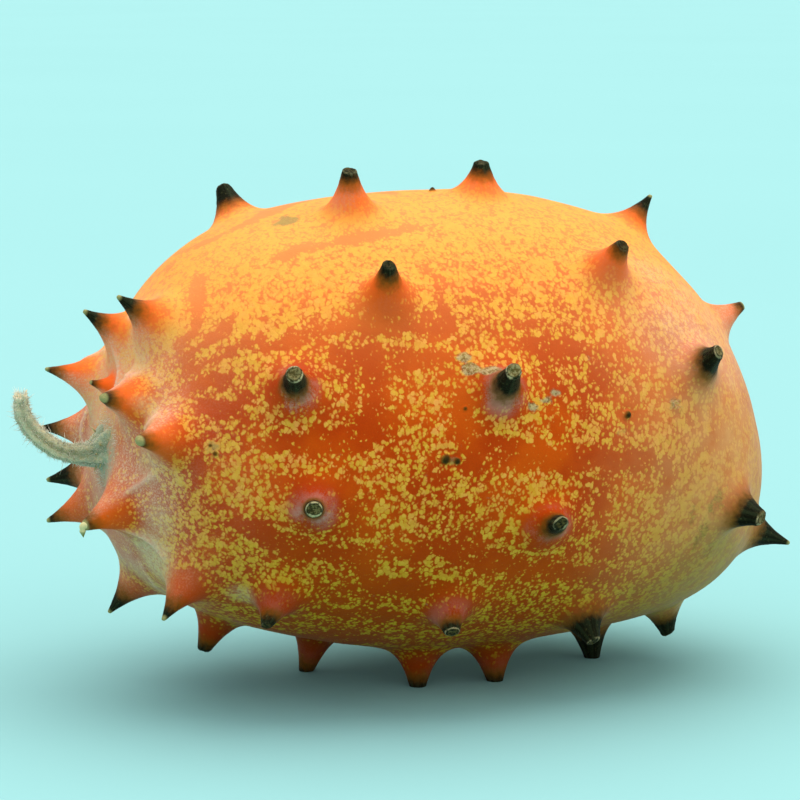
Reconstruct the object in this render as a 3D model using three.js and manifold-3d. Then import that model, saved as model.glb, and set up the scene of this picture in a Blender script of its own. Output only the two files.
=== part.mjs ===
import * as THREE from "three";
import { mergeVertices } from "three/addons/utils/BufferGeometryUtils.js";
import Module from "manifold-3d";

// A ripe horned melon lying on four of its horns, with the curled stub of its stalk.
// Millimetres, +Z up. The fruit lies along X: stem end towards -X, blossom end towards +X.
// The group ends up with its origin at the middle of its underside.

const wasm = await Module();
wasm.setup();

// Fruit body: a blunt egg, round across, whose middle line droops towards the blossom end.
// bodySwell and bodySag are the terms of its two curves, from the constant term upwards, in
// the share along its half-length.
const bodyHalfLength = 58.2;
const bodyRadius = 38.8;
const bodySwell = [1, 0.02, 0.21, 0, 0.03, -0.086];
const bodySag = [0, 0.82, -0.27, 6.93, 8.59, -3.62];
const bodySides = 44;
const bodyRings = 28;

// Where the lowest horns meet the table, measured from the widest ring's centre.
const tableLevel = -44.5;

// Horns. The flare is the radius of the wide foot that swells out of the rind. Its rim lies
// hornRoot under the rind, and its middle hornCore under it. hornSteps are the shares of the
// height at which a horn has a ring. A tip below slimTip makes the horn a cone.
const hornFlare = 7.2;
const slimFlare = 5.4;
const budFlare = 4;
const postCurve = 2.4;
const coneCurve = 2;
const hornRoot = 1.8;
const hornCore = 4;
const hornSides = 8;
const hornSteps = [0.14, 0.3, 0.5, 0.74, 1];
const bluntTip = 1.35;
const slimTip = 1;
const wornTip = 0.8;
const pointedTip = 0.55;

// Each horn: angle from the stem end, angle round the fruit from the top towards the front,
// height, tip radius, lean towards the blossom end, lean back towards the top (degrees) and,
// where it is not the usual one, the radius of its flare.
const stemEndHorns = [
  [15.5, 333, 9.0, pointedTip, -3, 0],
  [15, 23, 4.6, pointedTip, 4, -5, budFlare],
  [20.5, 54, 7.2, wornTip, 2, -4],
  [29, 80, 9.8, wornTip, 2, 0],
  [15.5, 116, 9.2, wornTip, 9, -6],
  [20, 231, 9.7, pointedTip, 3, 5],
  [24, 249, 9.8, pointedTip, 0, 0],
  [23, 271, 9.9, pointedTip, 0, 0],
  [23, 9, 8.8, pointedTip, 9, -3],
  [30, 28, 9.5, pointedTip, 4, -2],
  [36, 140, 9.6, pointedTip, -4, 3],
  [34, 199, 9.5, pointedTip, 0, 0],
  [41, 243, 9.0, pointedTip, 0, 0],
  [46, 283, 8.6, pointedTip, 0, 0],
];
const upperHorns = [
  [59, 337, 7.1, bluntTip, 0, 0],
  [72, 17, 7.8, bluntTip, 0, 0],
  [96, 10, 6.0, bluntTip, -4, 0],
  [126, 5, 7.3, pointedTip, 0, 3],
  [149, 12, 6.6, wornTip, 3, 4, slimFlare],
  [72, 51, 8.0, bluntTip, -3, 13],
  [111, 43, 7.6, bluntTip, -9, -6],
  [128, 66, 6.8, bluntTip, -28, 3],
];
const frontHorns = [
  [54, 73, 7.8, bluntTip, 4, 14],
  [88, 76, 7.6, bluntTip, -2, 22],
  [57, 104, 7.3, bluntTip, -1, 23],
  [96, 109, 6.5, bluntTip, -5, 36],
  [137, 106, 6.6, bluntTip, -4, 5],
  [83, 134, 6.7, bluntTip, -12, 25],
  [54, 137, 7.2, slimTip, -13, 17],
  [108, 142, 6.6, bluntTip, -8, 25],
  [163, 141, 7.8, pointedTip, 0, 0, slimFlare],
];
const lowerHorns = [
  [52, 190, 7.8, bluntTip, 0, 0],
  [137, 177, 6.4, bluntTip, -6, -6],
];
// The four that carry the fruit are a little long, and end flat on the table.
const standingHorns = [
  [72, 192, 9.4, bluntTip, 0, 0],
  [85.5, 171, 7.6, bluntTip, 0, 0],
  [98.5, 170, 7.4, bluntTip, 0, 0],
  [121, 183, 8.4, bluntTip, 0, 0],
];
// The back carries four rows, staggered, each horn a little off its place, height and way.
const backRows = [
  { around: 222, first: 58, apart: 30, count: 4 },
  { around: 250, first: 70, apart: 31, count: 3 },
  { around: 279, first: 63, apart: 31, count: 4 },
  { around: 306, first: 76, apart: 31, count: 3 },
];
const backSeed = 41;
const backSpreadAlong = 3.5;
const backSpreadAround = 7;
const backHeight = 7.6;
const backHeightSpread = 0.5;
const backLean = 8;

// Stalk: root place on the fruit, line from its root to its broken end, and girth.
const stalkRootPolar = 6;
const stalkRootAround = 62;
const stalkLine = [
  [0, 0, 0],
  [-3.5, -0.3, -0.4],
  [-7.6, -0.8, 0.6],
  [-11.2, -1.4, 3.2],
  [-13.6, -2, 6.6],
  [-14.2, -2.5, 10.4],
];
const stalkRootRadius = 2.9;
const stalkRadius = 1.7;
const stalkEndRadius = 1.05;
const stalkRib = 0.07;
const stalkRibs = 5;
const stalkSides = 20;
const stalkRings = 26;
const socketDepth = 1.6;
const socketReach = 12;
const socketGap = 0.3;

const degrees = Math.PI / 180;
const mergeDistance = 1e-4;
const frameStep = 0.5;
const drawFactor = 16807;
const drawModulus = 2147483647;

// A repeatable draw between -1 and 1: each state is the last one times drawFactor, modulo
// drawModulus.
function makeDraw(seed) {
  let state = seed;
  return () => {
    state = (state * drawFactor) % drawModulus;
    return (2 * state) / drawModulus - 1;
  };
}

// Value at along of the curve with these terms.
function curveAt(terms, along) {
  return terms.reduce((sum, term, power) => sum + term * along ** power, 0);
}

// Half-width of the body at along = -1 (stem end) to 1 (blossom end).
function bodyHalfWidth(along) {
  const round = Math.sqrt(Math.max(0, 1 - along * along));
  return bodyRadius * round * curveAt(bodySwell, along);
}

// Height of the body's middle line above the widest ring's centre.
function bodyDroop(along) {
  return -curveAt(bodySag, along);
}

// A place on the rind.
function rindPoint(polar, around) {
  const along = -Math.cos(polar * degrees);
  const width = bodyHalfWidth(along);
  return new THREE.Vector3(
    along * bodyHalfLength,
    -width * Math.sin(around * degrees),
    bodyDroop(along) + width * Math.cos(around * degrees),
  );
}

// The rind's own directions there: out of the fruit, towards the blossom end, and round
// towards the top of the front.
function rindFrame(polar, around) {
  const step = frameStep;
  const back = rindPoint(polar + step, around).sub(rindPoint(polar - step, around)).normalize();
  const round = rindPoint(polar, around - step).sub(rindPoint(polar, around + step)).normalize();
  const out = round.clone().cross(back).negate().normalize();
  return { out, back, round };
}

// Makes a solid of a closed three.js geometry.
function solidOf(geometry) {
  const bare = geometry.index ? geometry.toNonIndexed() : geometry.clone();
  bare.deleteAttribute("normal");
  bare.deleteAttribute("uv");
  const merged = mergeVertices(bare, mergeDistance);
  const corners = [];
  const index = merged.index.array;
  for (let i = 0; i < index.length; i += 3) {
    const [a, b, c] = [index[i], index[i + 1], index[i + 2]];
    if (a !== b && b !== c && c !== a) corners.push(a, b, c);
  }
  return new wasm.Manifold(
    new wasm.Mesh({
      numProp: 3,
      vertProperties: merged.getAttribute("position").array,
      triVerts: new Uint32Array(corners),
    }),
  );
}

// Turns a solid back into a geometry.
function geometryOf(solid) {
  const mesh = solid.getMesh();
  const places = new Float32Array(mesh.numVert * 3);
  for (let i = 0; i < mesh.numVert; i += 1) {
    const start = i * mesh.numProp;
    places.set(mesh.vertProperties.subarray(start, start + 3), i * 3);
  }
  const geometry = new THREE.BufferGeometry();
  geometry.setAttribute("position", new THREE.BufferAttribute(places, 3));
  geometry.setIndex(new THREE.BufferAttribute(new Uint32Array(mesh.triVerts), 1));
  geometry.computeVertexNormals();
  return geometry;
}

// The smooth body, turned about its length and then bent to its drooping middle line.
function makeBody() {
  const profile = [];
  for (let i = 0; i <= bodyRings; i += 1) {
    const along = -Math.cos((Math.PI * i) / bodyRings);
    const width = i === 0 || i === bodyRings ? 0 : bodyHalfWidth(along);
    profile.push(new THREE.Vector2(width, along * bodyHalfLength));
  }
  const geometry = new THREE.LatheGeometry(profile, bodySides);
  geometry.rotateZ(-Math.PI / 2);
  const places = geometry.getAttribute("position");
  for (let i = 0; i < places.count; i += 1) {
    places.setZ(i, places.getZ(i) + bodyDroop(places.getX(i) / bodyHalfLength));
  }
  return solidOf(geometry);
}

// Radius of a horn at a share of its height: blunt ones are posts, pointed ones are cones.
function hornRadius(share, tip, flare) {
  const curve = tip < slimTip ? coneCurve : postCurve;
  return tip + (flare - tip) * (1 - share) ** curve;
}

// One horn: a flared foot sunk in the rind, a shaft and a flat scar for a tip.
function makeHorn([polar, around, tall, tip, leanBack, leanRound, flare = hornFlare]) {
  const profile = [new THREE.Vector2(0, -hornCore), new THREE.Vector2(flare, -hornRoot)];
  for (const share of hornSteps) {
    profile.push(new THREE.Vector2(hornRadius(share, tip, flare), share * tall));
  }
  profile.push(new THREE.Vector2(0, tall));
  const geometry = new THREE.LatheGeometry(profile, hornSides);
  const { out, back, round } = rindFrame(polar, around);
  const way = out
    .clone()
    .addScaledVector(back, Math.tan(leanBack * degrees))
    .addScaledVector(round, Math.tan(leanRound * degrees));
  const slant = new THREE.Matrix4().makeBasis(back, way, round.negate());
  geometry.applyMatrix4(slant.setPosition(rindPoint(polar, around)));
  return solidOf(geometry);
}

// The back's horns, from the rows and a seeded draw.
function layBackHorns() {
  const draw = makeDraw(backSeed);
  const horns = [];
  for (const { around, first, apart, count } of backRows) {
    for (let i = 0; i < count; i += 1) {
      const polar = first + apart * i + backSpreadAlong * draw();
      const turned = around + backSpreadAround * draw();
      const tall = backHeight + backHeightSpread * draw();
      horns.push([polar, turned, tall, bluntTip, backLean * draw(), backLean * draw()]);
    }
  }
  return horns;
}

// A tube with a changing radius along a curve: a straight lathe, then bent to the curve.
function makeBentLathe(curve, rings, sides, radiusAt) {
  const profile = [new THREE.Vector2(0, 0)];
  for (let i = 0; i <= rings; i += 1) profile.push(new THREE.Vector2(1, i / rings));
  profile.push(new THREE.Vector2(0, 1));
  const geometry = new THREE.LatheGeometry(profile, sides);
  const frames = curve.computeFrenetFrames(rings, false);
  const places = geometry.getAttribute("position");
  for (let i = 0; i < places.count; i += 1) {
    const ring = Math.round(places.getY(i) * rings);
    const side = Math.atan2(places.getX(i), places.getZ(i));
    const reach = Math.hypot(places.getX(i), places.getZ(i)) * radiusAt(ring / rings, side);
    const spot = curve
      .getPointAt(ring / rings)
      .addScaledVector(frames.normals[ring], reach * Math.sin(side))
      .addScaledVector(frames.binormals[ring], -reach * Math.cos(side));
    places.setXYZ(i, spot.x, spot.y, spot.z);
  }
  return solidOf(geometry);
}

// Stalk radius: wide at the root, slim in the middle, drawn in at the broken end, ribbed.
function stalkRadiusAt(share, side) {
  const foot = (stalkRootRadius - stalkRadius) * (1 - share) ** 3;
  const end = (stalkRadius - stalkEndRadius) * share ** 5;
  return (stalkRadius + foot - end) * (1 + stalkRib * Math.cos(stalkRibs * side));
}

const { out: stemWay } = rindFrame(stalkRootPolar, stalkRootAround);
const stalkRoot = rindPoint(stalkRootPolar, stalkRootAround);

// Socket in the stem end, a plain round hole that the stalk's foot stands in.
function makeSocket() {
  const radius = stalkRootRadius * (1 + stalkRib) + socketGap;
  const inner = -socketDepth - socketGap;
  const profile = [
    new THREE.Vector2(0, inner),
    new THREE.Vector2(radius, inner),
    new THREE.Vector2(radius, socketReach),
    new THREE.Vector2(0, socketReach),
  ];
  const geometry = new THREE.LatheGeometry(profile, stalkSides);
  const turn = new THREE.Quaternion().setFromUnitVectors(new THREE.Vector3(0, 1, 0), stemWay);
  const unit = new THREE.Vector3(1, 1, 1);
  geometry.applyMatrix4(new THREE.Matrix4().compose(stalkRoot, turn, unit));
  return solidOf(geometry);
}

function makeFruit() {
  const horns = [
    ...stemEndHorns,
    ...upperHorns,
    ...frontHorns,
    ...lowerHorns,
    ...standingHorns,
    ...layBackHorns(),
  ];
  let fruit = makeBody();
  for (const horn of horns) fruit = fruit.add(makeHorn(horn));
  const below = new THREE.BoxGeometry(4 * bodyRadius, 4 * bodyRadius, bodyRadius);
  below.translate(0, 0, tableLevel - bodyRadius / 2);
  return fruit.subtract(solidOf(below)).subtract(makeSocket());
}

function makeStalk() {
  const inside = stalkRoot.clone().addScaledVector(stemWay, -socketDepth);
  const points = stalkLine.map(([x, y, z]) => new THREE.Vector3(x, y, z).add(stalkRoot));
  const curve = new THREE.CatmullRomCurve3([inside, ...points]);
  return makeBentLathe(curve, stalkRings, stalkSides, stalkRadiusAt);
}

function addPiece(group, name, solid, material) {
  const mesh = new THREE.Mesh(geometryOf(solid), material);
  mesh.name = name;
  group.add(mesh);
}

const rindMaterial = new THREE.MeshStandardMaterial({
  color: 0xe8792b,
  roughness: 0.42,
  metalness: 0,
});
const stalkMaterial = new THREE.MeshStandardMaterial({
  color: 0x8a8f6a,
  roughness: 0.85,
  metalness: 0,
});

const melon = new THREE.Group();
addPiece(melon, "fruit", makeFruit(), rindMaterial);
addPiece(melon, "stalk", makeStalk(), stalkMaterial);

// Stand it on z = 0 with its box centred on the origin.
const box = new THREE.Box3().setFromObject(melon);
const middle = box.getCenter(new THREE.Vector3());
melon.position.set(-middle.x, -middle.y, -box.min.z);

export default melon;
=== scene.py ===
import math
import random

import bpy
import numpy as np
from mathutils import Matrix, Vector, kdtree, noise
from mathutils.geometry import delaunay_2d_cdt


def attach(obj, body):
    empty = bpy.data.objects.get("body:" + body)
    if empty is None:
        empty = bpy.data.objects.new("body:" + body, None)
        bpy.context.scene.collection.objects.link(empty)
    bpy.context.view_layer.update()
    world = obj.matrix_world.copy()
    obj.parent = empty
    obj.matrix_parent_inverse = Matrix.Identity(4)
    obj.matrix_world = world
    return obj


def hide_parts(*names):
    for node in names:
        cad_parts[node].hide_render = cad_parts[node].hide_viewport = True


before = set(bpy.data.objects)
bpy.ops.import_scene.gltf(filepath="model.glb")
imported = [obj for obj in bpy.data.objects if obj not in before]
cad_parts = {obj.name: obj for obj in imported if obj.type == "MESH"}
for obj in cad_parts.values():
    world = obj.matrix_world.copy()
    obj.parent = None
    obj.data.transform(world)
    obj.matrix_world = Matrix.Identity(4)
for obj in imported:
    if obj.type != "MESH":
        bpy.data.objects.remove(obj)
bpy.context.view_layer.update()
mm = 0.001
print("frame loaded:", ", ".join(sorted(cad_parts)))


# The fruit's body, in millimetres from the centre of its widest ring. The two curves are
# the same as the solid's: swell is its half-width, sag how far its middle line droops.
body = {
    "halfLength": 58.2,
    "radius": 38.8,
    "swell": (1, 0.02, 0.21, 0, 0.03, -0.086),
    "sag": (0, 0.82, -0.27, 6.93, 8.59, -3.62),
    "centre": (5.171, -0.849, 44.5),  # in the frame
    "spacing": 1.05,  # between mesh points
    "stemSpacing": 0.62,  # the same round the stem end
    "stemEnd": 46,  # how far the finer mesh reaches, degrees
    "dimple": 0.32,  # depth of the soft unevenness
}


def curveAt(terms, along):
    return sum(term * along**power for power, term in enumerate(terms))


def rindPoints(polar, around):
    along = -np.cos(np.radians(polar))
    width = body["radius"] * np.sin(np.radians(polar)) * curveAt(body["swell"], along)
    turn = np.radians(around)
    height = width * np.cos(turn) - curveAt(body["sag"], along)
    return np.stack([along * body["halfLength"], -width * np.sin(turn), height], -1)


def unit(vectors):
    return vectors / np.linalg.norm(vectors, axis=-1, keepdims=True)


# Out of the rind, towards the blossom end, and round towards the top of the front.
def rindFrames(polar, around):
    polar = np.asarray(polar, float)
    around = np.asarray(around, float)
    back = unit(rindPoints(polar + 0.5, around) - rindPoints(polar - 0.5, around))
    turned = unit(rindPoints(polar, around - 0.5) - rindPoints(polar, around + 0.5))
    return unit(-np.cross(turned, back)), back, turned


def smooth(low, high, value):
    share = np.clip((value - low) / (high - low), 0, 1)
    return share * share * (3 - 2 * share)


# Horns as in the solid, apart from four slimmer flares, one slimmer tip and one lean: degrees
# from the stem end, degrees round from the top towards the front, height, tip radius, lean
# back, lean round and flare radius. Two more are for the finish: the share of the height from
# which the horn is dark, and how clear the scar on its tip is.
hornPlan = {
    "flare": 7.2,
    "blunt": 1.35,
    "slim": 1.0,
    "worn": 0.8,
    "pointed": 0.55,
    "tipShare": 0.77,  # of the tip radius, inside its rounded edge
    "postWidth": 1.96,  # mm over which a blunt horn falls to a third of its height
    "postCurve": 1.12,
    "scarTip": 0.22,  # what a clear scar adds to the tip's share
    "scarWidth": 0.66,  # and takes from the width and the curve: such horns are posts
    "scarCurve": 0.3,
    "coneWidth": 2.35,
    "capReach": 1.0,  # of the rind that becomes the tip
    "wallReach": 2.9,  # of the rind that becomes the tip and the steep wall
    "edgeDrop": 0.24,  # mm from the top of the rim to its rounded edge
    "craterDrop": 0.13,
    "tilt": 0.3,  # mm that a blunt tip may slope
    "tiltEnd": 2.88,  # mm from the foot's middle, where the slope has faded out
    "tiltFade": 2.4,
    "tiltPivot": 0.7,
    "knobbly": 0.11,  # mm of unevenness on the dark part
    "merge": 2.6,  # the higher, the sharper the valleys between two horns
    "range": 16,  # mm of rind round its foot that a horn may shape
    "behind": -9,  # mm: past this the rind lies on the fruit's other side
    "seed": 7,
}
blunt, slim, worn, pointed = (hornPlan[name] for name in ("blunt", "slim", "worn", "pointed"))
stemEndHorns = [
    (15.5, 333, 9.0, pointed, -3, 0, 7.2, 0.78, 0),
    (15, 23, 4.6, pointed, 4, -5, 3.4, 0.8, 0),
    (20.5, 54, 7.2, worn, 2, -4, 7.2, 0.8, 0),
    (29, 80, 9.8, worn, 2, 0, 7.2, 0.86, 0),
    (15.5, 116, 9.2, worn, 9, -6, 7.2, 0.86, 0),
    (20, 231, 9.7, pointed, 3, 5, 7.2, 0.76, 0),
    (24, 249, 9.8, pointed, 0, 0, 7.2, 0.42, 0),
    (23, 271, 9.9, pointed, 0, 0, 7.2, 0.66, 0),
    (23, 9, 8.8, pointed, 9, -3, 7.2, 0.62, 0),
    (30, 28, 9.5, pointed, 4, -2, 7.2, 0.6, 0),
    (36, 140, 9.6, pointed, -4, 3, 7.2, 0.7, 0),
    (34, 199, 9.5, pointed, 0, 0, 7.2, 0.55, 0),
    (41, 243, 9.0, pointed, 0, 0, 7.2, 0.6, 0),
    (46, 283, 8.6, pointed, 0, 0, 7.2, 0.6, 0),
]
upperHorns = [
    (59, 337, 7.1, blunt, 0, 0, 7.2, 0.46, 0.1),
    (72, 17, 7.8, blunt, 0, 0, 7.2, 0.76, 0.3),
    (96, 10, 6.0, blunt, -4, 0, 7.2, 0.66, 0.1),
    (126, 5, 7.3, pointed, 7, 3, 6.2, 0.52, 0),
    (149, 12, 6.6, worn, 3, 4, 5.4, 0.8, 0),
    (72, 51, 8.0, 1.2, -3, 13, 7.2, 0.73, 0.05),
    (111, 43, 7.6, blunt, -9, -6, 7.2, 0.84, 0.1),
    (128, 66, 6.8, blunt, -28, 3, 7.2, 0.4, 0.5),
]
frontHorns = [
    (54, 73, 7.8, blunt, 4, 14, 6.2, 0.5, 0.9),
    (88, 76, 7.6, blunt, -2, 22, 6.2, 0.44, 0.85),
    (57, 104, 7.3, blunt, -1, 23, 7.2, 0.74, 0.9),
    (96, 109, 6.5, blunt, -5, 36, 7.2, 0.6, 0.6),
    (137, 106, 6.6, blunt, -4, 5, 7.2, 0.4, 0.7),
    (83, 134, 6.7, blunt, -12, 25, 7.2, 0.7, 0.55),
    (54, 137, 7.2, slim, -13, 17, 7.2, 0.72, 0.2),
    (108, 142, 6.6, blunt, -8, 25, 7.2, 0.3, 0.5),
    (163, 141, 7.8, pointed, 0, 0, 5.4, 0.2, 0),
]
lowerHorns = [
    (52, 190, 7.8, blunt, 0, 0, 7.2, 0.76, 0),
    (137, 177, 6.4, blunt, -6, -6, 7.2, 0.46, 0.1),
]
standingHorns = [
    (72, 192, 9.4, blunt, 0, 0, 7.2, 0.76, 0.2),
    (85.5, 171, 7.6, blunt, 0, 0, 7.2, 0.68, 0.2),
    (98.5, 170, 7.4, blunt, 0, 0, 7.2, 0.7, 0.2),
    (121, 183, 8.4, blunt, 0, 0, 7.2, 0.3, 0.2),
]
backHorns = {
    "rows": ((222, 58, 30, 4), (250, 70, 31, 3), (279, 63, 31, 4), (306, 76, 31, 3)),
    "seed": 41,
    "spreadAlong": 3.5,
    "spreadAround": 7,
    "height": 7.6,
    "heightSpread": 0.5,
    "lean": 8,
    "darkFrom": 0.6,
    "darkSpread": 0.12,
    "scar": 0.45,
}


# The solid's repeatable draw, so that the back horns land in the same places.
def makeDraw(seed):
    state = [seed]

    def draw():
        state[0] = state[0] * 16807 % 2147483647
        return 2 * state[0] / 2147483647 - 1

    return draw


def layBackHorns():
    draw = makeDraw(backHorns["seed"])
    rows = []
    for around, first, apart, count in backHorns["rows"]:
        for i in range(count):
            polar = first + apart * i + backHorns["spreadAlong"] * draw()
            turned = around + backHorns["spreadAround"] * draw()
            tall = backHorns["height"] + backHorns["heightSpread"] * draw()
            leans = [backHorns["lean"] * draw() for _ in range(2)]
            dark = backHorns["darkFrom"] + backHorns["darkSpread"] * leans[0] / backHorns["lean"]
            scar = backHorns["scar"] * (1 + leans[1] / backHorns["lean"])
            rows.append((polar, turned, tall, blunt, *leans, hornPlan["flare"], dark, scar))
    return rows


# Scars that are pale all over instead of dark in the middle, by the horn's place.
paleHearts = {(54, 73): 0.55, (88, 76): 0.95, (128, 66): 0.8, (137, 106): 0.5, (57, 104): 0.25}


# Tiny buds and dead spots on the rind: place, height and radius.
buds = [
    (110, 81.3, 0.75, 0.62),
    (78.6, 90.7, 0.6, 0.8),
    (80.5, 91.2, 0.42, 0.54),
    (89.5, 2.5, 0.7, 0.6),
    (82, 79, 0.2, 0.36),
    (38.5, 87.8, 0.22, 0.42),
    (37.6, 85, 0.14, 0.3),
    (67, 205, 0.5, 0.5),
    (101, 262, 0.6, 0.6),
    (85, 300, 0.5, 0.5),
]
# Rough grey cork: place, reach in mm along and round, strength.
corkPatches = [
    (82.6, 66.8, 1.6, 1.1, 1.0),
    (83.3, 69.9, 2.2, 1.3, 1.2),
    (86.4, 71.0, 2.2, 1.1, 1.1),
    (87.2, 75.2, 1.1, 1.7, 0.6),
    (93.0, 79.4, 1.3, 0.9, 1.0),
    (95.2, 77.6, 1.5, 0.7, 0.7),
    (97.2, 76.0, 1.2, 0.8, 1.0),
    (103.6, 67.6, 0.9, 0.7, 0.5),
    (120.4, 77.8, 2.2, 1.5, 0.5),
    (112, 228, 3.0, 1.5, 0.8),
]
# Greenish and dark stains: place, reach along and round, strength.
stains = [
    (61.2, 13.4, 3.2, 2.3, 1.0),
    (61.4, 9.4, 1.7, 1.7, 0.85),
    (108.6, 85.4, 1.1, 1.1, 0.6),
    (125.5, 108, 1.6, 3.2, 0.4),
    (128.5, 115, 1.5, 4.6, 0.55),
    (132.5, 123, 1.6, 3.6, 0.45),
    (131, 104, 2.6, 3.4, 0.5),
    (38, 86.5, 1.6, 1.9, 0.5),
    (79.8, 91, 1.5, 1.0, 0.6),
    (90, 205, 4.0, 2.4, 0.6),
    (70, 270, 3.5, 2.0, 0.6),
]
# Sharp folds of the rind between the horns of the stem end, with a pale crest that is partly bloom and
# partly a painted highlight: from, to and height.
folds = [
    ((22.5, 33), (18, 62), 0.75),
    ((16.5, 32), (24.5, 45), 0.45),
    ((21, 14), (15.5, 40), 0.6),
    ((26, 18), (30, 2), 0.5),
    ((22.5, 73), (28, 67.5), 0.3),
    ((24, 92), (17, 104), 0.7),
    ((18, 124), (31, 134), 0.7),
    ((22, 150), (33, 170), 0.5),
    ((17, 262), (18, 296), 0.4),
    ((18, 322), (20, 354), 0.45),
]
# Bare streams in the speckles: the places along each one, with its half-width in mm there.
streams = [
    ((56, 31, 0.2), (62, 29.5, 0.8), (70, 29.4, 1.1), (78, 28, 0.9), (85, 26, 0.3)),
    ((41, 21, 0.5), (40, 30, 1.0), (39, 38, 1.1), (37, 44, 1.0), (32, 47, 0.9), (26, 47, 0.7)),
    ((45, 46.5, 0.4), (41, 49.5, 0.5), (36, 51, 0.6), (30, 51.5, 0.6)),
    ((49, 55.5, 0.5), (44, 56, 0.6), (39, 57.5, 0.7), (34, 57, 0.6)),
    ((50, 59, 0.6), (56, 57.5, 0.9), (62, 57, 1.2), (68, 57, 1.7), (74, 58, 2.0), (80.4, 58.8, 2.1)),
    ((80, 40, 0.1), (80.7, 50, 0.3), (81, 57, 0.6)),
    ((42, 64.5, 0.7), (36, 63.5, 0.9), (31, 64, 0.8)),
    ((61, 64, 0.7), (66, 65, 1.4), (73, 66.5, 1.5), (80, 66.5, 1.1)),
    ((68, 66, 1.5), (68.3, 74, 1.4), (67, 81, 1.6)),
    ((36, 72, 1.1), (42, 75, 1.2), (45, 79, 1.0)),
    ((46, 86, 0.8), (52, 86, 1.4), (59, 86.3, 1.9), (65, 85.5, 1.9), (69.5, 82, 1.2)),
    ((81.6, 76, 1.0), (81.6, 83, 1.1), (81.4, 89, 1.2)),
    ((81, 90, 1.8), (88, 90.3, 2.4), (96, 91, 2.1), (104, 92.3, 1.6), (114, 92.5, 1.3)),
    ((96.6, 70, 0.7), (96.8, 78, 1.0), (97, 86, 0.8)),
    ((106, 73, 0.7), (106, 78, 0.6)),
    ((93, 64.5, 0.6), (99, 65, 0.9), (108, 65.5, 0.7), (122, 67, 0.6)),
    ((118, 91, 0.6), (119, 98, 0.9), (119, 103, 0.3)),
    ((106, 96, 0.5), (105.2, 104, 0.7), (106.4, 112, 0.6), (108.5, 119, 0.8)),
    ((43.5, 111, 1.0), (49, 114, 1.7), (56, 117, 1.9), (63, 118, 1.7), (68, 116, 1.3), (74, 114, 1.1)),
    ((74, 114, 1.1), (80, 113, 1.4), (86, 116, 2.0), (94, 121, 1.8), (102, 123.5, 1.8), (109, 126, 1.2)),
    ((66, 119, 1.6), (69, 125, 1.4), (76, 127.5, 1.6), (83, 125, 1.0)),
    ((51, 97.5, 1.0), (57, 97, 1.4), (63, 98.5, 1.0)),
    ((34.5, 89, 0.9), (35, 96, 0.9), (32, 101, 0.7)),
    ((128, 87, 1.2), (134, 84.5, 1.4), (141, 82, 1.0)),
    ((64, 104, 0.8), (65, 109, 0.9)),
    ((60, 142, 1.2), (70, 138, 1.2), (78, 140, 1.2)),
]
# Pale, creamy skin: place, reach along and round, strength.
palePatches = [
    (27, 138, 5.5, 6.5, 0.95),
    (47.5, 139, 3.0, 3.2, 0.6),
    (26, 116, 3.0, 4.0, 0.5),
    (22, 88, 3.0, 4.0, 0.5),
    (25, 64, 2.2, 3.0, 0.55),
    (24, 38, 2.0, 3.4, 0.4),
    (30, 170, 6.0, 6.0, 0.5),
    (24, 200, 6.0, 6.0, 0.4),
    (26, 70, 2.0, 1.8, 0.5),
    (141, 172, 3.0, 3.4, 0.8),
    (112, 146, 2.4, 2.6, 0.5),
]
# Where the speckles lie thinner or thicker: place, reach along and round, change.
coverPatches = [
    (40, 70, 12, 7, -0.05),
    (58, 77, 9, 6, -0.1),
    (33, 86, 8, 9, 0.06),
    (90, 83, 7, 4, 0.16),
    (75, 80, 4, 7, 0.1),
    (90, 101, 13, 6, 0.1),
    (120, 86, 9, 6, 0.24),
    (120, 106, 11, 10, 0.22),
    (74, 62.5, 8, 1.6, 0.3),
    (57, 82, 7, 1.3, 0.16),
    (72, 121, 6, 3, 0.14),
    (98, 127, 4, 3, 0.16),
    (66, 136, 14, 6, -0.1),
    (42, 60, 9, 5, 0.16),
    (62, 48, 9, 5, 0.08),
]


# The dry stalk: its line starts in the rind and curls up, as the solid's does. It is slimmer
# than the solid, because the hairs stand on it.
stalk = {
    "rootPolar": 6,
    "rootAround": 62,
    "line": (
        (0, 0, 0), (-3.5, -0.3, -0.4), (-7.6, -0.8, 0.6),
        (-11.2, -1.4, 3.2), (-13.6, -2, 6.6), (-14.2, -2.5, 10.4),
    ),
    "sunk": 2.2,
    "rootRadius": 3.4,
    "radius": 1.36,
    "endRadius": 1.05,
    "footReach": 1.9,  # mm over which the foot narrows
    "mound": 0.9,  # mm by which the rind rises to it
    "collar": (0.8, 2.1),  # of the root's radius: where the woolly ring fades
    "ribs": 5,
    "rib": 0.08,
    "footRib": 0.2,  # the ribs stand out more where they run into the rind
    "twist": 2.2,
    "strands": ((0.022, 17, 5), (0.016, 29, -9)),  # depth, count and twist
    "knot": (0.1, 0.84, 0.07),  # mm, where along the stalk, and how long
    "rings": 130,
    "sides": 72,
    "lumps": 0.2,  # mm
    "grit": 0.12,
    "ragged": 0.9,  # mm by which the broken end is uneven
    "raggedFrom": 0.88,
    "hollow": ((0.72, 0.1), (0.6, 0.9), (0.3, 1.3)),  # in the end: its width, and mm of depth
    "hollowEnd": 1.35,
}


horns = [*stemEndHorns, *upperHorns, *frontHorns, *lowerHorns, *standingHorns, *layBackHorns()]
hornTable = np.array(horns, float)
hornFeet = rindPoints(hornTable[:, 0], hornTable[:, 1])
hornOut, hornBack, hornTurned = rindFrames(hornTable[:, 0], hornTable[:, 1])


# The place on the rind that lies on the line from the body's middle through each point.
polarSteps = np.linspace(0.01, 179.99, 2400)
middleSteps = rindPoints(polarSteps, 90)
slantSteps = np.arctan2(-middleSteps[:, 1], middleSteps[:, 0])


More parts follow.
